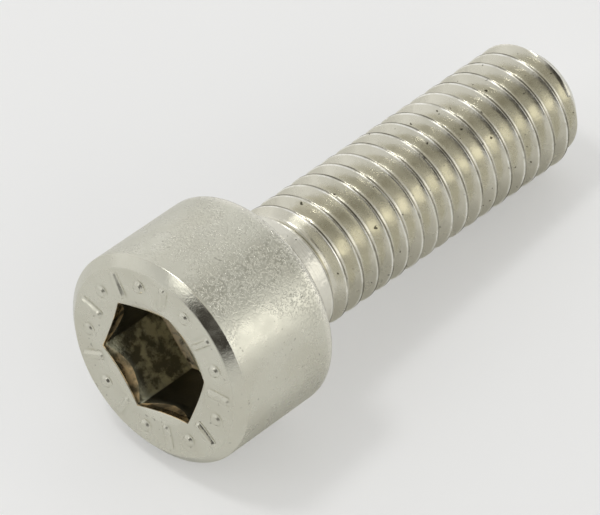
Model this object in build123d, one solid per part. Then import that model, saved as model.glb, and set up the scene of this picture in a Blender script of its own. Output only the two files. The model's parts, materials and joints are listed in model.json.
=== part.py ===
from build123d import *
import math
import os

# Hex socket cap screw, M6 x 20, fully threaded.
# Lengths in millimetres, angles in degrees, +Z up.
# The screw lies at rest: the rear rim of its head and the end of its shank
# touch the plane Z = 0, its socket faces -Y and its tip points to +Y.

# Head
head_diameter = 10.0
head_height = 5.9
rim_bevel_width = 0.5       # radial width of the bevel between face and side
rim_bevel_depth = 0.42      # the same bevel, along the axis
rim_edge_round = 0.16       # softening of the bevel's two edges
rear_rim_round = 0.3        # rounding where the side meets the bearing face

# Hex socket
socket_width = 5.05         # across the flats
socket_depth = 3.45         # length of the flats
socket_bottom_angle = 140.0 # included angle of the cone below the flats
mouth_overhang = 0.06       # how far the countersink passes the corners, radial
mouth_angle = 120.0         # included angle of the countersink
socket_turn = 16.3          # turn of the flats about the axis, from upright

# Shank
thread_diameter = 5.96      # over the thread's crests
shank_length = 19.6         # bearing face to tip
neck_round = 0.3            # fillet between shank and bearing face
tip_diameter = 4.6          # flat at the very end
tip_chamfer_length = 0.75

head_radius = head_diameter / 2
thread_radius = thread_diameter / 2
tip_radius = tip_diameter / 2


def screw_blank():
    """The turned form: head, neck fillet, shank and end chamfer.

    The bearing face lies on Z = 0, the head above it and the tip below.
    """
    face_radius = head_radius - rim_bevel_width
    bevel_start = head_height - rim_bevel_depth
    with BuildPart() as blank:
        with BuildSketch(Plane.XZ):
            with BuildLine():
                Polyline(
                    (0, head_height),
                    (face_radius, head_height),
                    (head_radius, bevel_start),
                    (head_radius, 0),
                    (thread_radius, 0),
                    (thread_radius, tip_chamfer_length - shank_length),
                    (tip_radius, -shank_length),
                    (0, -shank_length),
                    close=True,
                )
            make_face()
        revolve(axis=Axis.Z)
        fillet(circles_at(blank, face_radius, head_height), rim_edge_round)
        fillet(circles_at(blank, head_radius, bevel_start), rim_edge_round)
        fillet(circles_at(blank, head_radius, 0), rear_rim_round)
        fillet(circles_at(blank, thread_radius, 0), neck_round)
    return blank.part


def circles_at(blank, radius, height):
    """The blank's circular edge of one radius at one height."""
    closest = [
        edge
        for edge in blank.edges().filter_by(GeomType.CIRCLE)
        if abs(edge.radius - radius) < 1e-4 and abs(edge.arc_center.Z - height) < 1e-4
    ]
    return closest


def socket_cutter():
    """The hexagonal hole, its conical bottom and the countersink at its mouth."""
    flat_radius = socket_width / 2
    corner_radius = flat_radius / math.cos(math.radians(30))
    floor_height = head_height - socket_depth
    cone_depth = flat_radius / math.tan(math.radians(socket_bottom_angle / 2))
    mouth_radius = corner_radius + mouth_overhang
    mouth_depth = mouth_radius / math.tan(math.radians(mouth_angle / 2))
    with BuildPart() as cutter:
        with BuildSketch(Plane.XY.offset(floor_height)):
            RegularPolygon(flat_radius, 6, major_radius=False, rotation=socket_turn)
        extrude(amount=socket_depth)
        with Locations((0, 0, floor_height - cone_depth / 2)):
            Cone(0, flat_radius, cone_depth)
        with Locations((0, 0, head_height - mouth_depth / 2)):
            Cone(0, mouth_radius, mouth_depth)
    return cutter.part


def resting_dip():
    """How far the axis dips towards the tip when the screw lies on a flat surface.

    The surface touches the rounded rear rim of the head and the edge where the
    shank's end chamfer begins. Worked out in the plane through the axis.
    """
    rim_centre = (head_radius - rear_rim_round, rear_rim_round)
    edge_point = (thread_radius, tip_chamfer_length - shank_length)
    run = rim_centre[1] - edge_point[1]
    rise = rim_centre[0] - edge_point[0]
    reach = math.hypot(run, rise)
    dip = math.atan2(rise, run) + math.asin(rear_rim_round / reach)
    return math.degrees(dip)


dip_angle = resting_dip()
screw = screw_blank() - socket_cutter()
screw = Rot(90 - dip_angle, 0, 0) * screw
box = screw.bounding_box()
screw = Pos(0, -(box.min.Y + box.max.Y) / 2, -box.min.Z) * screw

os.makedirs("parts", exist_ok=True)
export_step(screw, "parts/screw.step")
print("dip of the axis, degrees:", round(dip_angle, 3))
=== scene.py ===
import json
import math
import bpy
import bmesh
from mathutils import Matrix, Vector, noise


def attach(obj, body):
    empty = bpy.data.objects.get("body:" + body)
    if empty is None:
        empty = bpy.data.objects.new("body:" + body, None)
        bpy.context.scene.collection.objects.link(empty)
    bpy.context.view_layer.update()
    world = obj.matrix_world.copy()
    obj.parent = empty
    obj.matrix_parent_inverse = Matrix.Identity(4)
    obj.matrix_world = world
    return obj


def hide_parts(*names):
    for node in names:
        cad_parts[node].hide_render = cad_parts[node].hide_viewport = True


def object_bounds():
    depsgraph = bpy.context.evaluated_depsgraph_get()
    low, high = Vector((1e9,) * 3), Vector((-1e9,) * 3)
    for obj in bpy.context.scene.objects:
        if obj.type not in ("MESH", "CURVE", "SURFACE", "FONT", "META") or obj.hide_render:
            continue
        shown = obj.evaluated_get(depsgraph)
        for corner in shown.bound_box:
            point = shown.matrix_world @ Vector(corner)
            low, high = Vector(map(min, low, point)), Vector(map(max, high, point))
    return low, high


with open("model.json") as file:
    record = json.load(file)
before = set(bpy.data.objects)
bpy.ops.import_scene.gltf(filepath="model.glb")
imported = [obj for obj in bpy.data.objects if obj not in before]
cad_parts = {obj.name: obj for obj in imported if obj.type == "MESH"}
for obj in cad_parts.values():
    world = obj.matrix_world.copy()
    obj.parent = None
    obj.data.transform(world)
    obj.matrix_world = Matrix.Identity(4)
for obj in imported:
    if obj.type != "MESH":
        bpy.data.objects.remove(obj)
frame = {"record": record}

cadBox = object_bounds()
mm = 0.001
tau = 2 * math.pi


def tan(degrees):
    return math.tan(math.radians(degrees))


def ease(low, high, value):
    # smooth step from 0 at low to 1 at high
    t = min(1.0, max(0.0, (value - low) / (high - low)))
    return t * t * (3 - 2 * t)


def unevenness(angle, around, along):
    # smooth noise, about -1 to 1, that closes on itself round the screw
    return noise.noise(Vector((math.cos(angle) * around, math.sin(angle) * around, along)))


# the screw is built upright in mm: bearing face on Z = 0, head above, tip below
mounts = {mount["name"]: mount for mount in frame["record"]["mounts"]}
head = {
    "radius": mounts["head_side"]["dims"]["r_mm"],
    "height": 5.9,
    "bevelWidth": 0.5,
    "bevelDepth": 0.42,
    "edgeRound": 0.16,      # softening of the bevel's two edges
    "rearRound": 0.3,
    "neckRound": 0.3,
    "collar": 0.35,         # plain length below the neck's fillet, where the thread takes over
    "faceInset": 0.14,      # the stamped face starts this far inside the bevel
    "ringGap": 0.03,        # between a coarse ring and the fine one beside it
    "faceRings": 26,
    "columns": 168,         # points round the screw
    "faceFineness": 3,      # the face has this many times as many, for its stamped ring
}


def restingMatrix():
    upAxis = Vector(mounts["hex_socket"]["axis"]).normalized()
    sideAxis = Vector((1, 0, 0))
    frontAxis = upAxis.cross(sideAxis)
    bearingCentre = Vector(mounts["hex_socket"]["pos_m"]) - upAxis * head["height"] * mm
    matrix = Matrix((sideAxis, frontAxis, upAxis)).transposed().to_4x4()
    matrix.translation = bearingCentre
    return matrix


def collarZ():
    # where the head's rings meet the thread's rows
    return -head["neckRound"] - head["collar"]


thread = {
    "crestRadius": mounts["thread"]["dims"]["r_mm"],
    "pitch": 1.0,
    "crestHeight": 3.076,   # below the bearing face, where one crest passes crestAngle
    "crestAngle": 54.8,
    "crestFlat": 0.13,      # width of the flat on top
    "crestEase": 0.012,     # how far its edges are worn round
    "seamDepth": 0.05,      # the fine fold that rolling leaves along the crest
    "seamWidth": 0.045,
    "depth": 0.6134,
    "flankSlope": 1.0 / tan(30),
    "rootEase": 0.063,      # how softly the root is rounded
    "neckRadius": 2.93,
    "neckSlack": 0.01,      # the first crests may stand this proud of the neck
    "swellStart": 1.3,      # the neck swells to the crests between these depths
    "swellEnd": 2.3,
    "firstGroove": 1.5,     # below the bearing face
    "runOut": 1.7,          # axial length over which the first groove deepens
    "length": 19.6,
    "tipRadius": 2.3,
    "tipChamfer": 0.75,
    "wobble": 0.012,        # unevenness of the crest line
    "wobbleAround": 5.1,    # how quickly it changes round the screw
    "wobbleAlong": 1.7,     # and along it
    "wobbleCalm": 0.4,      # share that the full thread loses
    "turnsAbove": 4,        # spare turns of rows past the collar
    "turnsBelow": 3,        # and past the tip
}


def grooveDepth(offset):
    # drop below the crest at an offset in pitches from the crest's middle
    along = abs(offset) * thread["pitch"]
    flat = thread["crestFlat"] / 2
    ramp = thread["crestEase"]
    drop = ramp * math.log1p(math.exp((along - flat) * thread["flankSlope"] / ramp))
    floor = thread["depth"]
    soften = thread["rootEase"]
    drop = floor - soften * math.log1p(math.exp((floor - drop) / soften))
    seam = thread["seamDepth"] * math.exp(-(2 * along / thread["seamWidth"]) ** 2)
    return max(0.0, drop) + seam


def phaseSteps():
    # the rows' places across one pitch, closer together at the crest and the root
    half = [0.0, 0.025, 0.05, 0.075, 0.1, 0.16, 0.24, 0.32, 0.38, 0.43]
    return half + [0.5] + [1 - step for step in reversed(half[1:])]


def threadPoint(turns, angle):
    # turns counts pitches down from the crest that passes crestAngle
    pitch = thread["pitch"]
    crest = thread["crestRadius"]
    neck = thread["neckRadius"]
    lag = (angle - math.radians(thread["crestAngle"])) / tau
    z = -thread["crestHeight"] - (turns - lag) * pitch
    # the whole groove deepens together, so its two flanks stay alike
    grooveTurns = math.floor(turns) + 0.5
    grooveZ = -thread["crestHeight"] - (grooveTurns - lag) * pitch
    begun = ease(thread["firstGroove"], thread["firstGroove"] + thread["runOut"], -grooveZ)
    radius = crest - grooveDepth(turns - round(turns)) * begun
    wobble = unevenness(angle, thread["wobbleAround"], z * thread["wobbleAlong"])
    radius += thread["wobble"] * wobble * (1 - begun * thread["wobbleCalm"])
    swell = ease(thread["swellStart"], thread["swellEnd"], -z)
    radius = min(radius, neck + (crest - neck) * swell + thread["neckSlack"])
    pastChamfer = -z - (thread["length"] - thread["tipChamfer"])
    if pastChamfer > 0:
        slope = (crest - thread["tipRadius"]) / thread["tipChamfer"]
        radius = min(radius, crest - pastChamfer * slope)
    return radius, z


def addThread(grid):
    # helical rows, so the crest lines run clean; rows past either end fold onto it and weld
    columns = head["columns"]
    steps = phaseSteps()
    top = collarZ()
    bottom = -thread["length"]
    firstTurn = math.floor(-thread["crestHeight"] - top) - thread["turnsAbove"]
    lastTurn = math.ceil(-thread["crestHeight"] - bottom) + thread["turnsBelow"]
    rows = []
    for whole in range(firstTurn, lastTurn):
        for step in steps:
            row = []
            for column in range(columns):
                angle = tau * column / columns
                radius, z = threadPoint(whole + step, angle)
                if z > top:
                    z = top
                    radius = thread["neckRadius"]
                if z < bottom:
                    z = bottom
                    radius = thread["tipRadius"]
                row.append(grid.point(angle, radius, z))
            rows.append(row)
    perTurn = len(steps)
    for index in range(perTurn, len(rows) - 1):
        upper = rows[index]
        lower = rows[index + 1]
        for column in range(columns - 1):
            grid.face(upper[column], lower[column], lower[column + 1], upper[column + 1])
        # a row that has gone right round runs on into the row of one turn before
        grid.face(upper[-1], lower[-1], rows[index + 1 - perTurn][0], rows[index - perTurn][0])


class Grid:
    # a bmesh with a few ways to lay rings of points
    def __init__(self):
        self.mesh = bmesh.new()

    def point(self, angle, radius, z):
        return self.mesh.verts.new((radius * math.cos(angle), radius * math.sin(angle), z))

    def face(self, *corners):
        return self.mesh.faces.new(corners)

    def ring(self, radius, z, columns):
        # radius and z are numbers, or functions of the angle
        points = []
        for column in range(columns):
            angle = tau * column / columns
            r = radius(angle) if callable(radius) else radius
            height = z(angle) if callable(z) else z
            points.append(self.point(angle, r, height))
        return points

    def join(self, first, second):
        # first lies after second, seen from outside, so the faces look outwards
        count = len(first)
        for column in range(count):
            after = (column + 1) % count
            self.face(first[column], first[after], second[after], second[column])

    def refine(self, coarse, fine):
        # from a ring to one with a whole number of times as many points
        times = len(fine) // len(coarse)
        for column in range(len(coarse)):
            after = (column + 1) % len(coarse)
            steps = [fine[(column * times + step) % len(fine)] for step in range(times, -1, -1)]
            self.face(coarse[column], coarse[after], *steps)

    def coarsen(self, fine, coarse):
        times = len(fine) // len(coarse)
        for column in range(len(coarse)):
            after = (column + 1) % len(coarse)
            steps = [fine[(column * times + step) % len(fine)] for step in range(times + 1)]
            self.face(*steps, coarse[after], coarse[column])

    def cap(self, ring, z):
        centre = self.mesh.verts.new((0, 0, z))
        for column in range(len(ring)):
            self.face(ring[column], ring[(column + 1) % len(ring)], centre)


def roundedCorner(before, corner, after, radius, steps):
    # points of the arc that rounds a corner of the outline
    towards = (Vector(before) - Vector(corner)).normalized()
    away = (Vector(after) - Vector(corner)).normalized()
    opening = towards.angle(away)
    reach = radius / math.tan(opening / 2)
    centre = Vector(corner) + (towards + away).normalized() * radius / math.sin(opening / 2)
    start = Vector(corner) + towards * reach - centre
    end = Vector(corner) + away * reach - centre
    points = []
    for step in range(steps + 1):
        share = step / steps
        points.append(tuple(centre + start.lerp(end, share).normalized() * radius))
    return points


def addHeadSide(grid):
    # from the neck out over the bearing face, up the side and over the bevel to the face
    r = head["radius"]
    h = head["height"]
    neck = thread["neckRadius"]
    faceEdge = (r - head["bevelWidth"], h)
    bevelEdge = (r, h - head["bevelDepth"])
    outline = [(neck, collarZ())]
    outline += roundedCorner((neck, -3), (neck, 0), (r, 0), head["neckRound"], 5)
    outline += [(neck + (r - neck) * 0.6, 0)]
    outline += roundedCorner((neck, 0), (r, 0), (r, h), head["rearRound"], 6)
    outline += [(r, h * 0.35), (r, h * 0.65)]
    outline += roundedCorner((r, 0), bevelEdge, faceEdge, head["edgeRound"], 4)
    outline += roundedCorner(bevelEdge, faceEdge, (0, h), head["edgeRound"], 4)
    outline += [(r - head["bevelWidth"] - head["faceInset"], h)]
    rings = [grid.ring(radius, z, head["columns"]) for radius, z in outline]
    for lower, upper in zip(rings, rings[1:]):
        grid.join(lower, upper)
    return rings[-1]


stamps = {
    "places": 18,           # evenly spaced, a bar and a pip in turn
    "middle": 3.72,         # radius of the ring they stand on
    "barLength": 0.95,
    "barWidth": 0.28,
    "pipRadius": 0.24,
    "rise": 0.12,
    "edgeInside": 0.04,     # each mark's edge slopes from this far inside its outline
    "edgeOutside": 0.035,   # to this far outside
    "moat": 0.028,          # the metal sinks a little round each mark
    "moatAt": 0.09,
    "moatWidth": 0.06,
    "wornTo": 0.75,         # usual share of the rise that is left
    "wornSpread": 0.5,      # and how much that varies
    "wornAround": 4.0,      # how quickly it varies round the head
    "fadeOut": 0.1,         # no mark comes this near either edge of the face
    "turn": 7.0,
}


def stampRise(angle, radius):
    pitch = tau / stamps["places"]
    place = round((angle - math.radians(stamps["turn"])) / pitch)
    sideways = (angle - math.radians(stamps["turn"]) - place * pitch) * radius
    outwards = radius - stamps["middle"]
    if place % 2:
        distance = math.hypot(sideways, outwards) - stamps["pipRadius"]
    else:
        beyond = max(0.0, abs(outwards) - stamps["barLength"] / 2)
        distance = math.hypot(sideways, beyond) - stamps["barWidth"] / 2
    left = stamps["wornTo"] + stamps["wornSpread"] * unevenness(angle, stamps["wornAround"], radius)
    inside = 1 - ease(-stamps["edgeInside"], stamps["edgeOutside"], distance)
    sink = stamps["moat"] * math.exp(-((distance - stamps["moatAt"]) / stamps["moatWidth"]) ** 2)
    return stamps["rise"] * left * inside - sink


def addFace(grid, rim):
    h = head["height"]
    outer = head["radius"] - head["bevelWidth"] - head["faceInset"] - head["ringGap"]
    inner = socket["mouthRadius"] + 2 * head["ringGap"]
    columns = head["columns"] * head["faceFineness"]
    count = head["faceRings"]
    margin = stamps["fadeOut"]
    rings = []
    for index in range(count):
        radius = outer + (inner - outer) * index / (count - 1)
        fade = ease(outer, outer - margin, radius) * ease(inner, inner + margin, radius)
        rings.append(grid.ring(radius, lambda a: h + stampRise(a, radius) * fade, columns))
    grid.refine(rim, rings[0])
    for outerRing, innerRing in zip(rings, rings[1:]):
        grid.join(outerRing, innerRing)
    mouth = grid.ring(socket["mouthRadius"] + head["ringGap"], h, head["columns"])
    grid.coarsen(rings[-1], mouth)
    return mouth


socket = {
    "flat": 5.03,           # across the flats, in mm
    "depth": 3.45,
    "turn": 16.3,
    "cornerRound": 0.14,
    "mouthRadius": 2.976,
    "mouthSink": 0.10,      # the countersink is this much deeper at a flat than at a corner
    "mouthLeast": 0.02,     # its depth at a corner
    "mouthStart": (0.02, 0.012),    # its first ring: in from the mouth, down
    "mouthEdge": [(0.035, -0.01), (0.008, 0.01), (0.0, 0.04)],  # its rounded edge: out, down
    "lipWidth": 0.035,      # the punch's lead-in stands this far outside the flats
    "lipShallow": 0.16,     # its depth at the corners
    "lipDeep": 0.74,        # and at the middle of a flat
    "lipUneven": 0.05,
    "lipAround": 5.0,       # how quickly that changes round the socket
    "lipStep": 0.02,        # half the height of the step back to the flats
    "lipFoot": 0.9,         # share of its width that is left at the step
    "wallRings": [0.3, 0.5, 0.7, 0.9],  # down the wall, as shares of the depth
    "footRound": (0.03, 0.04),      # the corner between wall and floor: in, up
    "floorEdge": [(0.04, 0.0), (0.1, 0.03)],    # the floor's rounded edge: in, down
    "bottomAngle": 140.0,
    "bottomRings": [0.8, 0.6, 0.4, 0.2, 0.08],  # radii of the cone's rings, as shares
    "bottomBlunt": 0.97,    # the cone's point is blunted to this share of its depth
}


def fromFlat(angle):
    # angle to the middle of the nearest flat
    sixth = tau / 6
    return abs((angle - math.radians(socket["turn"])) % sixth - sixth / 2)


def hexRadius(angle):
    # distance from the axis to the hexagon's wall, its corners a little rounded
    across = socket["flat"] / 2
    away = fromFlat(angle)
    rounding = socket["cornerRound"]
    centre = (across - rounding) / math.cos(tau / 12)
    blend = math.atan2((across - rounding) * math.tan(tau / 12), across)
    if away <= blend:
        return across / math.cos(away)
    turnTo = tau / 12 - away
    return centre * math.cos(turnTo) + math.sqrt(rounding ** 2 - (centre * math.sin(turnTo)) ** 2)


def flatShare(angle):
    # 0 at a corner, 1 at the middle of a flat
    corner = hexRadius(math.radians(socket["turn"]))
    return (corner - hexRadius(angle)) / (corner - socket["flat"] / 2)


def edgeDepth(angle):
    return socket["mouthLeast"] + socket["mouthSink"] * flatShare(angle)


def lipDepth(angle):
    deeper = (socket["lipDeep"] - socket["lipShallow"]) * flatShare(angle)
    uneven = socket["lipUneven"] * unevenness(angle, socket["lipAround"], 0)
    return socket["lipShallow"] + deeper + uneven


def addSocket(grid, mouth):
    h = head["height"]
    columns = head["columns"]
    floor = h - socket["depth"]
    flatRadius = socket["flat"] / 2
    lip = socket["lipWidth"]
    step = socket["lipStep"]
    startIn, startDown = socket["mouthStart"]
    footIn, footUp = socket["footRound"]
    rings = [mouth]

    def ring(radius, z):
        rings.append(grid.ring(radius, z, columns))

    ring(socket["mouthRadius"] - startIn, h - startDown)
    for out, down in socket["mouthEdge"]:
        ring(lambda a: hexRadius(a) + lip + out, lambda a: h - edgeDepth(a) - down)
    ring(lambda a: hexRadius(a) + lip * socket["lipFoot"], lambda a: h - lipDepth(a) + step)
    ring(hexRadius, lambda a: h - lipDepth(a) - step)
    for share in socket["wallRings"]:
        ring(hexRadius, h - socket["depth"] * share)
    ring(hexRadius, floor + footUp)
    ring(lambda a: hexRadius(a) - footIn, floor)
    for inwards, down in socket["floorEdge"]:
        ring(flatRadius - inwards, floor - down)
    coneDepth = flatRadius / tan(socket["bottomAngle"] / 2)
    for share in socket["bottomRings"]:
        ring(flatRadius * share, floor - coneDepth * (1 - share))
    for outerRing, innerRing in zip(rings, rings[1:]):
        grid.join(outerRing, innerRing)
    grid.cap(rings[-1], floor - coneDepth * socket["bottomBlunt"])


tip = {
    # the shallow dish that rolling leaves in the flat end: in from the edge, up
    "dish": [(0.08, 0.015), (0.3, 0.02), (0.55, 0.1), (1.2, 0.16)],
    "dishDepth": 0.17,
}


def addTipFace(grid):
    columns = head["columns"]
    bottom = -thread["length"]
    rings = [grid.ring(thread["tipRadius"], bottom, columns)]
    for inwards, lift in tip["dish"]:
        rings.append(grid.ring(thread["tipRadius"] - inwards, bottom + lift, columns))
    for outerRing, innerRing in zip(rings, rings[1:]):
        grid.join(innerRing, outerRing)
    last = rings[-1]
    centre = grid.mesh.verts.new((0, 0, bottom + tip["dishDepth"]))
    for column in range(columns):
        grid.face(last[(column + 1) % columns], last[column], centre)


def buildScrew():
    weld = 0.0015           # mm, for points that fold onto the same spot
    sliver = 0.0008
    sharp = math.radians(50)
    grid = Grid()
    addThread(grid)
    rim = addHeadSide(grid)
    mouth = addFace(grid, rim)
    addSocket(grid, mouth)
    addTipFace(grid)
    bmesh.ops.remove_doubles(grid.mesh, verts=grid.mesh.verts[:], dist=weld)
    bmesh.ops.dissolve_degenerate(grid.mesh, edges=grid.mesh.edges[:], dist=sliver)
    loose = [vert for vert in grid.mesh.verts if not vert.link_faces]
    bmesh.ops.delete(grid.mesh, geom=loose, context="VERTS")
    bmesh.ops.recalc_face_normals(grid.mesh, faces=grid.mesh.faces[:])
    openEdges = sum(1 for edge in grid.mesh.edges if not edge.is_manifold)
    for vert in grid.mesh.verts:
        vert.co *= mm
    mesh = bpy.data.meshes.new("screwMetal")
    grid.mesh.to_mesh(mesh)
    grid.mesh.free()
    for polygon in mesh.polygons:
        polygon.use_smooth = True
    mesh.set_sharp_from_angle(angle=sharp)
    piece = bpy.data.objects.new("screwMetal", mesh)
    bpy.context.scene.collection.objects.link(piece)
    piece.matrix_world = restingMatrix()
    triangles = sum(len(polygon.vertices) - 2 for polygon in mesh.polygons)
    print("screw mesh:", triangles, "triangles,", openEdges, "open edges")
    return piece


steel = {
    "headColour": (0.69, 0.68, 0.585, 1),
    "threadColour": (0.74, 0.715, 0.61, 1),
    "cloudColour": (0.60, 0.58, 0.48, 1),
    # dark specks of dirt, and painted shade in the crest's seam
    "dirtAndShadeColour": (0.05, 0.04, 0.02, 1),
    # painted shade over the socket's walls, with an oil film; also the caked blotches on its floor
    "oilAndShadeColour": (0.085, 0.08, 0.055, 1),
    # painted light on the one socket wall that light falls on
    "litWallColour": (0.50, 0.50, 0.37, 1),
    "lipColour": (0.74, 0.57, 0.33, 1),
    # a painted highlight along the head side of each crest
    "crestHighlightColour": (0.97, 0.96, 0.90, 1),
    "floorColour": (1.0, 0.88, 0.64, 1),
    "neckColour": (0.84, 0.82, 0.73, 1),
    "neckCover": 0.8,       # how fully the neck and the rear rim take it
    "speckCover": 0.9,      # of the dark specks on the thread
    "headClean": 0.55,      # how much less of them shows on the head
    "litWallAt": -133.7,     # bearing of the socket wall with painted light on it
    "litWallFrom": (2.38, 2.48),     # mm from the axis towards that wall, from none to full
    "seamAt": 0.03,         # the painted shade of the rolled seam, a dark line, in pitches past the crest
    "seamFade": (0.06, 0.03),       # pitches from its middle, from none to full
    "seamRagged": 0.05,
    "highlightAt": -0.09,        # the painted highlight beside it, a bright line, in pitches from the seam
    "highlightFade": (0.045, 0.02),
    "crestStart": (-1.6, -2.4),     # both lines fade in below the neck, in mm
    "crestEnd": (-19.1, -18.7),     # and the seam ends before the tip
    "floorMetal": 0.55,     # the caked floor of the socket reflects less like metal
    "roughLow": 0.15,
    "roughHigh": 0.30,
    # what each zone adds to the roughness
    "rougher": {
        "head": 0.08, "socket": 0.1, "bevel": -0.12, "rim": -0.08, "neck": 0.14, "floor": 0.2,
    },
    # noise for each texture: lumps in a metre, detail, roughness
    "noise": {
        "cloud": (420.0, 4.0, 0.5),
        "blotches": (1250.0, 5.0, 0.65),
        "leadIn": (1700.0, 3.0, 0.5),
        "specks": (3800.0, 2.0, 0.5),
        "grain": (1500.0, 5.0, 0.6),
        "tumbling": (6500.0, 3.0, 0.6),
        "pits": (9000.0, 2.0, 0.6),
        "patches": (260.0, 3.0, 0.5),
        "waves": (1100.0, 2.0, 0.5),
        "rolling": (2600.0, 3.0, 0.5),
        "streaks": (1900.0, 3.0, 0.6),
    },
    # how far each texture stands out of the surface
    "relief": {"tumbling": 0.22, "pits": -0.8, "waves": 0.5, "rolling": 2.2, "streaks": 1.6},
    "streakStretch": (0.3, 0.3, 4.0),
    "bumpHeight": 0.02,     # mm
}


class Nodes:
    # short ways to place and link shader nodes
    def __init__(self, tree):
        self.tree = tree

    def add(self, kind, **settings):
        node = self.tree.nodes.new(kind)
        for name, value in settings.items():
            setattr(node, name, value)
        return node

    def link(self, source, target):
        self.tree.links.new(source, target)

    def value(self, target, value):
        if hasattr(value, "links"):
            self.link(value, target)
        else:
            target.default_value = value

    def math(self, operation, first, second=0.0):
        node = self.add("ShaderNodeMath", operation=operation)
        self.value(node.inputs[0], first)
        self.value(node.inputs[1], second)
        return node.outputs[0]

    def plus(self, first, second):
        return self.math("ADD", first, second)

    def times(self, first, second):
        return self.math("MULTIPLY", first, second)

    def gap(self, first, second):
        return self.math("ABSOLUTE", self.math("SUBTRACT", first, second))

    def noise(self, coordinates, texture):
        scale, detail, roughness = steel["noise"][texture]
        node = self.add("ShaderNodeTexNoise")
        self.link(coordinates, node.inputs["Vector"])
        node.inputs["Scale"].default_value = scale
        node.inputs["Detail"].default_value = detail
        node.inputs["Roughness"].default_value = roughness
        return node.outputs["Fac"]

    def dot(self, vector, axis):
        node = self.add("ShaderNodeVectorMath", operation="DOT_PRODUCT")
        self.link(vector, node.inputs[0])
        node.inputs[1].default_value = axis
        return node.outputs["Value"]

    def span(self, value, low, high, outLow=0.0, outHigh=1.0):
        node = self.add("ShaderNodeMapRange", interpolation_type="SMOOTHSTEP")
        self.value(node.inputs["Value"], value)
        node.inputs["From Min"].default_value = low
        node.inputs["From Max"].default_value = high
        node.inputs["To Min"].default_value = outLow
        node.inputs["To Max"].default_value = outHigh
        return node.outputs["Result"]

    def spanMm(self, length, low, high, outLow=0.0, outHigh=1.0):
        # as span, with its limits in mm
        return self.span(length, low * mm, high * mm, outLow, outHigh)

    def mix(self, share, first, second):
        node = self.add("ShaderNodeMix", data_type="RGBA")
        self.value(node.inputs["Factor"], share)
        inputs = [s for s in node.inputs if s.type == "RGBA"]
        self.value(inputs[0], first)
        self.value(inputs[1], second)
        return [s for s in node.outputs if s.type == "RGBA"][0]


def towards(nodes, where, bearing):
    # distance from the axis along a bearing
    angle = math.radians(bearing)
    return nodes.dot(where, Vector((math.cos(angle), math.sin(angle), 0)))


def screwZones(nodes, z, fromAxis):
    # masks from 0 to 1, by the height above the bearing face and the place in the hexagon
    face = head["height"]
    bevel = face - head["bevelDepth"]
    floor = face - socket["depth"]
    lip = socket["flat"] / 2 + socket["lipWidth"]
    onHead = nodes.spanMm(z, -0.4, -0.1)
    inSocket = nodes.times(nodes.spanMm(fromAxis, lip + 0.03, lip + 0.01), onHead)
    onSide = nodes.times(onHead, nodes.spanMm(z, bevel, bevel - 0.12, 0.1, 1.0))
    return {
        "head": onHead,
        "socket": inSocket,
        "floor": nodes.times(inSocket, nodes.spanMm(z, floor + 0.13, floor + 0.04)),
        "side": nodes.times(onSide, nodes.spanMm(z, face - 0.01, face - 0.06)),
        "rim": nodes.times(onHead, nodes.spanMm(z, 0.6, 0.25)),
        "bevel": nodes.times(nodes.spanMm(z, bevel, bevel + 0.04),
                             nodes.spanMm(z, face - 0.02, face - 0.06)),
        "neck": nodes.times(nodes.spanMm(z, -2.7, -2.1), nodes.spanMm(z, -0.1, -0.3)),
    }


def socketShadeAndFilm(nodes, where, fromAxis, blotches, onFloor):
    # painted shade with an oil film on the walls, painted light on one wall, a brown lead-in and a
    # blotched floor
    lip = socket["flat"] / 2 + socket["lipWidth"]
    towardsWall = towards(nodes, where, steel["litWallAt"])
    # painted light on the one socket wall that light falls on, broken up by blotches
    litWall = nodes.times(nodes.spanMm(towardsWall, *steel["litWallFrom"]),
                         nodes.span(blotches, 0.42, 0.60, 0.1, 1.0))
    # painted shade with an oil film over the socket's walls, with the painted light on the one wall
    shadeAndFilm = nodes.mix(litWall, steel["oilAndShadeColour"], steel["litWallColour"])
    leadIn = nodes.times(nodes.spanMm(fromAxis, lip - 0.022, lip - 0.012),
                         nodes.span(nodes.noise(where, "leadIn"), 0.4, 0.6, 0.2, 1.0))
    shadeAndFilm = nodes.mix(leadIn, shadeAndFilm, steel["lipColour"])
    shadeAndFilm = nodes.mix(onFloor, shadeAndFilm, steel["floorColour"])
    caked = nodes.times(onFloor, nodes.span(blotches, 0.48, 0.66))
    return nodes.mix(caked, shadeAndFilm, steel["oilAndShadeColour"])


def crestLines(nodes, z, bearing, cloud, blotches):
    # painted shade in the seam that rolling leaves along the crest, and a painted highlight on its
    # head side
    around = nodes.math("DIVIDE", bearing, tau)
    turns = nodes.math("SUBTRACT", around, nodes.math("DIVIDE", z, thread["pitch"] * mm))
    seamTurns = thread["crestHeight"] / thread["pitch"] + thread["crestAngle"] / 360
    seamTurns += steel["seamAt"]
    # one half where the seam runs, so it never falls on the jump from 1 to 0
    phase = nodes.math("FRACT", nodes.math("SUBTRACT", turns, seamTurns - 0.5))
    offSeam = nodes.plus(nodes.gap(phase, 0.5), nodes.times(blotches, steel["seamRagged"]))
    seam = nodes.times(nodes.span(offSeam, *steel["seamFade"]),
                       nodes.span(cloud, 0.3, 0.6, 0.25, 0.8))
    seam = nodes.times(seam, nodes.spanMm(z, *steel["crestStart"]))
    seam = nodes.times(seam, nodes.spanMm(z, *steel["crestEnd"]))
    offHighlight = nodes.gap(phase, 0.5 + steel["highlightAt"])
    crestHighlight = nodes.times(nodes.span(offHighlight, *steel["highlightFade"]),
                       nodes.spanMm(z, *steel["crestStart"]))
    crestHighlight = nodes.times(crestHighlight, nodes.span(blotches, 0.38, 0.62, 0.15, 0.9))
    return seam, crestHighlight


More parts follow.
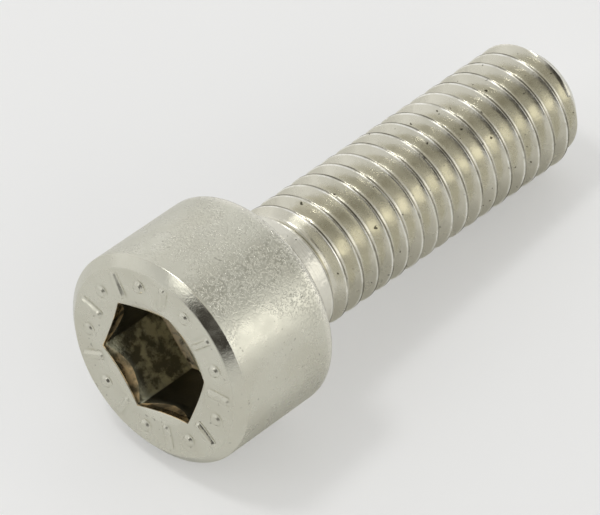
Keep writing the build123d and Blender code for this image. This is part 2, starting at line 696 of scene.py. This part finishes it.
def steelColour(nodes, where, z, bearing, fromAxis, zones):
    # slight clouding, the socket's film with painted shade and painted light, small black specks,
    # and painted shade and a painted highlight along the crest
    cloud = nodes.noise(where, "cloud")
    blotches = nodes.noise(where, "blotches")
    colour = nodes.mix(zones["head"], steel["threadColour"], steel["headColour"])
    colour = nodes.mix(nodes.span(cloud, 0.35, 0.7, 0.0, 0.5), colour, steel["cloudColour"])
    shadeAndFilm = socketShadeAndFilm(nodes, where, fromAxis, blotches, zones["floor"])
    colour = nodes.mix(zones["socket"], colour, shadeAndFilm)
    rolled = nodes.math("MAXIMUM", zones["neck"], zones["rim"])
    colour = nodes.mix(nodes.times(rolled, steel["neckCover"]), colour, steel["neckColour"])
    cover = nodes.times(zones["head"], steel["headClean"])
    cover = nodes.math("SUBTRACT", steel["speckCover"], cover)
    specks = nodes.times(nodes.span(nodes.noise(where, "specks"), 0.71, 0.735), cover)
    colour = nodes.mix(specks, colour, steel["dirtAndShadeColour"])
    seam, crestHighlight = crestLines(nodes, z, bearing, cloud, blotches)
    # a painted highlight along the head side of the crest
    colour = nodes.mix(crestHighlight, colour, steel["crestHighlightColour"])
    # painted shade along the crest's seam
    return nodes.mix(seam, colour, steel["dirtAndShadeColour"])


def steelRoughness(nodes, where, zones):
    grain = nodes.noise(where, "grain")
    rough = nodes.span(grain, 0.3, 0.7, steel["roughLow"], steel["roughHigh"])
    for zone, more in steel["rougher"].items():
        rough = nodes.plus(rough, nodes.times(zones[zone], more))
    return rough


def steelRelief(nodes, where, zones):
    # tumbling grain and waves everywhere, peened pits in patches on the head's side, and the
    # marks of rolling on the neck and the rear rim
    relief = steel["relief"]
    pits = nodes.span(nodes.noise(where, "pits"), 0.46, 0.66)
    patches = nodes.span(nodes.noise(where, "patches"), 0.42, 0.60, 0.1, 1.0)
    pits = nodes.times(nodes.times(pits, patches), zones["side"])
    onRolled = nodes.times(nodes.plus(zones["neck"], zones["rim"]), relief["rolling"])
    stretch = nodes.add("ShaderNodeVectorMath", operation="MULTIPLY")
    nodes.link(where, stretch.inputs[0])
    stretch.inputs[1].default_value = steel["streakStretch"]
    streaks = nodes.noise(stretch.outputs[0], "streaks")
    height = nodes.plus(nodes.times(nodes.noise(where, "tumbling"), relief["tumbling"]),
                        nodes.times(pits, relief["pits"]))
    height = nodes.plus(height, nodes.times(nodes.noise(where, "waves"), relief["waves"]))
    height = nodes.plus(height, nodes.times(nodes.noise(where, "rolling"), onRolled))
    onNeck = nodes.times(zones["neck"], relief["streaks"])
    return nodes.plus(height, nodes.times(streaks, onNeck))


def stainlessMaterial():
    material = bpy.data.materials.new("tumbledStainless")
    material.use_nodes = True
    nodes = Nodes(material.node_tree)
    shader = material.node_tree.nodes["Principled BSDF"]
    where = nodes.add("ShaderNodeTexCoord").outputs["Object"]
    split = nodes.add("ShaderNodeSeparateXYZ")
    nodes.link(where, split.inputs[0])
    x, y, z = split.outputs
    bearing = nodes.math("ARCTAN2", y, x)
    # distance from the axis to the side of a hexagon turned as the socket is
    fromAxis = 0.0
    for flat in range(3):
        reach = towards(nodes, where, socket["turn"] + 30 + flat * 60)
        fromAxis = nodes.math("MAXIMUM", nodes.math("ABSOLUTE", reach), fromAxis)
    zones = screwZones(nodes, z, fromAxis)
    colour = steelColour(nodes, where, z, bearing, fromAxis, zones)
    nodes.link(colour, shader.inputs["Base Color"])
    duller = nodes.times(zones["floor"], 1 - steel["floorMetal"])
    nodes.link(nodes.math("SUBTRACT", 1.0, duller), shader.inputs["Metallic"])
    nodes.link(steelRoughness(nodes, where, zones), shader.inputs["Roughness"])
    bump = nodes.add("ShaderNodeBump")
    bump.inputs["Strength"].default_value = 1.0
    bump.inputs["Distance"].default_value = steel["bumpHeight"] * mm
    nodes.link(steelRelief(nodes, where, zones), bump.inputs["Height"])
    nodes.link(bump.outputs[0], shader.inputs["Normal"])
    return material


screw = buildScrew()
screw.data.materials.append(stainlessMaterial())
print("steel ready:", len(steel["noise"]), "textures")
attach(screw, "root")
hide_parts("screw")
print("screw placed")

stage = {
    "floorColour": (0.88, 0.882, 0.88, 1),
    "floorGlow": (1.1, 1.1, 1.1, 1),   # seen by the camera alone, as on an overlit table
    "glowShare": 0.25,
    "floorSize": 1.2,       # metres
    "floorDrop": 0.00001,   # metres, so the screw's rim doesn't cut into it
    "backdrop": (0.82, 0.82, 0.82, 1),
    "skyColour": (0.66, 0.66, 0.66, 1),
    "keyBearing": -50.0,    # degrees round from -Y, seen from above
    "keyHeight": 68.0,
    "keyDistance": 0.22,
    "keySize": 0.042,
    "keyPower": 0.075,
    # what the tent's walls hold: bearing, elevation, stretch along the bearing, inner and
    # outer reach in degrees, colour
    "panels": [
        (-105, 8, 2.0, 20, 45, (0.90, 0.90, 0.90, 1)),
        (-160, 45, 1.0, 8, 16, (0.86, 0.86, 0.85, 1)),
        (160, 42, 1.2, 14, 22, (0.42, 0.42, 0.40, 1)),
        (150, 72, 1.0, 9, 18, (0.40, 0.39, 0.36, 1)),
        (113, 25, 1.3, 11, 17, (1.6, 1.58, 1.5, 1)),
        (66, 25, 1.0, 8, 22, (1.5, 1.48, 1.43, 1)),
        (130, 13, 1.2, 7, 15, (1.35, 1.33, 1.28, 1)),
        (35, 62, 1.0, 12, 22, (0.50, 0.48, 0.42, 1)),
        (20, 25, 1.0, 20, 25, (0.06, 0.055, 0.05, 1)),
        (-20, 46, 1.0, 7, 12, (1.7, 1.7, 1.65, 1)),
    ],
}


def bearingVector(bearing, elevation):
    flat = math.cos(math.radians(elevation))
    return Vector((math.sin(math.radians(bearing)) * flat,
                   -math.cos(math.radians(bearing)) * flat,
                   math.sin(math.radians(elevation))))


def addFloor():
    half = stage["floorSize"] / 2
    corners = [(-half, -half, 0), (half, -half, 0), (half, half, 0), (-half, half, 0)]
    mesh = bpy.data.meshes.new("floor")
    mesh.from_pydata(corners, [], [(0, 1, 2, 3)])
    floor = bpy.data.objects.new("floor", mesh)
    floor.location.z = cadBox[0][2] - stage["floorDrop"]
    bpy.context.scene.collection.objects.link(floor)
    material = bpy.data.materials.new("paleFloor")
    material.use_nodes = True
    shader = material.node_tree.nodes["Principled BSDF"]
    shader.inputs["Base Color"].default_value = stage["floorColour"]
    shader.inputs["Roughness"].default_value = 0.9
    shader.inputs["Specular IOR Level"].default_value = 0.1
    nodes = Nodes(material.node_tree)
    glow = nodes.add("ShaderNodeEmission")
    glow.inputs["Color"].default_value = stage["floorGlow"]
    seen = nodes.add("ShaderNodeLightPath").outputs["Is Camera Ray"]
    both = nodes.add("ShaderNodeMixShader")
    nodes.link(nodes.times(seen, stage["glowShare"]), both.inputs[0])
    nodes.link(shader.outputs[0], both.inputs[1])
    nodes.link(glow.outputs[0], both.inputs[2])
    nodes.link(both.outputs[0], material.node_tree.nodes["Material Output"].inputs["Surface"])
    mesh.materials.append(material)


def addSky():
    world = bpy.data.worlds.new("lightTent")
    bpy.context.scene.world = world
    world.use_nodes = True
    nodes = Nodes(world.node_tree)
    sky = world.node_tree.nodes["Background"]
    direction = nodes.add("ShaderNodeTexCoord").outputs["Generated"]
    colour = stage["skyColour"]
    for bearing, elevation, stretch, inner, outer, panelColour in stage["panels"]:
        middle = bearingVector(bearing, elevation)
        sideways = bearingVector(bearing + 90, 0)
        above = middle.cross(sideways)
        across = nodes.dot(direction, sideways / stretch)
        rise = nodes.dot(direction, above)
        ahead = nodes.span(nodes.dot(direction, middle), -0.1, 0.0)
        square = nodes.plus(nodes.math("POWER", across, 2.0), nodes.math("POWER", rise, 2.0))
        reach = nodes.math("SQRT", square)
        inside = nodes.span(reach, math.sin(math.radians(outer)), math.sin(math.radians(inner)))
        colour = nodes.mix(nodes.times(inside, ahead), colour, panelColour)
    # the camera sees a plain backdrop, the steel and the floor see the tent
    seen = nodes.add("ShaderNodeLightPath").outputs["Is Camera Ray"]
    nodes.link(nodes.mix(seen, colour, stage["backdrop"]), sky.inputs["Color"])
    sky.inputs["Strength"].default_value = 1.0


def addKey():
    target = (Vector(cadBox[0]) + Vector(cadBox[1])) / 2
    lamp = bpy.data.lights.new("softbox", "AREA")
    lamp.shape = "DISK"
    lamp.size = stage["keySize"]
    lamp.energy = stage["keyPower"]
    box = bpy.data.objects.new("softbox", lamp)
    aim = bearingVector(stage["keyBearing"], stage["keyHeight"])
    box.location = target + aim * stage["keyDistance"]
    box.rotation_euler = (target - box.location).to_track_quat("-Z", "Y").to_euler()
    bpy.context.scene.collection.objects.link(box)


view = {
    "bearing": 41.52,
    "elevation": 45.64,
    "distance": 0.2096,
    "lens": 299.8,
    "aside": 6.177,         # mm from the socket's mouth to the line of sight, to the right
    "down": -4.449,         # and downwards
}


def addCamera():
    camera = bpy.data.cameras.new("camera")
    camera.lens = view["lens"]
    camera.sensor_width = 36
    camera.clip_start = 0.01
    camera.dof.use_dof = False
    back = bearingVector(view["bearing"], view["elevation"])
    turn = back.to_track_quat("Z", "Y")
    right = turn @ Vector((1, 0, 0))
    up = turn @ Vector((0, 1, 0))
    mouth = Vector(mounts["hex_socket"]["pos_m"])
    holder = bpy.data.objects.new("camera", camera)
    holder.rotation_euler = turn.to_euler()
    centre = mouth + right * view["aside"] * mm - up * view["down"] * mm
    holder.location = centre + back * view["distance"]
    bpy.context.scene.collection.objects.link(holder)
    bpy.context.scene.camera = holder


addFloor()
addSky()
addKey()
addCamera()
bpy.context.scene.view_settings.view_transform = "Standard"
print("stage ready")
